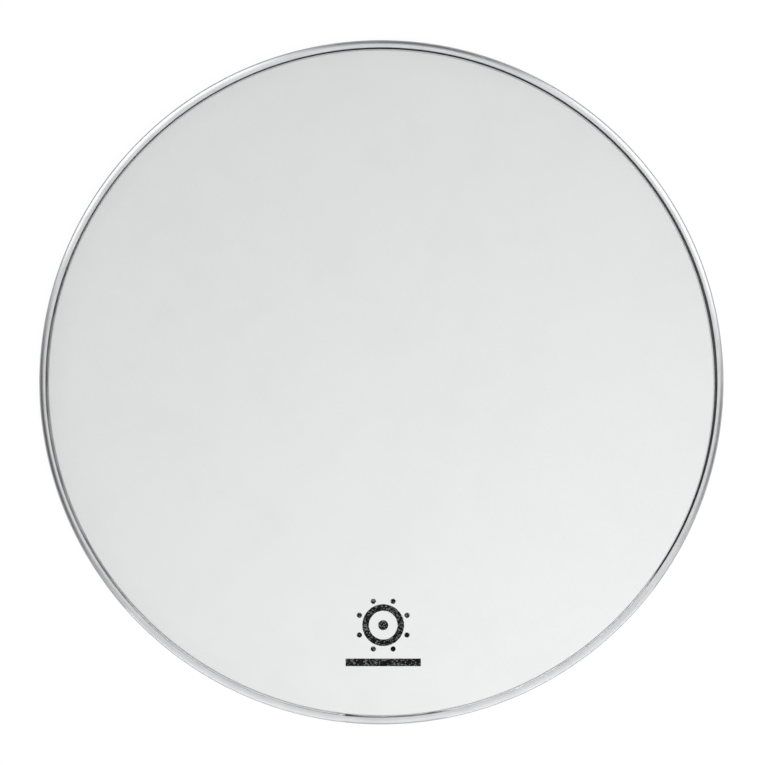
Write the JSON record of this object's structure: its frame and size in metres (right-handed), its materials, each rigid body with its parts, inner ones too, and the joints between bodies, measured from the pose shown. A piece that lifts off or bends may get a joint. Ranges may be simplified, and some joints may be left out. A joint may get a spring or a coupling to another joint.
{
  "type": "drum head",
  "caption": "Round white coated drum head with a formed collar, potted in a rolled aluminium hoop, with a printed ring-and-dots mark near its edge.",
  "frame": {"origin": "centre of the head, on the plane that the hoop's foot rests on", "axes": "+Z along the head's axis, out of the playing side; -Y points from the centre to the printed mark"},
  "size_m": [0.5755, 0.5756, 0.0171],
  "materials": {
    "hoop_aluminium": "roll-formed aluminium, bright with fine lengthwise drawing lines and light scuffs",
    "key_aluminium": "plain mill-finish aluminium",
    "polyester_film": "clear hazy polyester film, glossy underside",
    "white_coating": "sprayed white coating, matt and finely rough",
    "cast_resin": "grey cast resin, slightly uneven",
    "filler_resin": "pale resin dab, smooth",
    "print_ink": "black screen-printed ink, speckled where the coating's grain shows through"
  },
  "bodies": {
    "root": {"flesh_hoop": "hoop_aluminium", "joint_key": "key_aluminium", "film_membrane": "polyester_film", "white_coating": "white_coating", "potting_resin": "cast_resin", "seam_filler": "filler_resin", "printed_mark": "print_ink"}
  },
  "joints": []
}
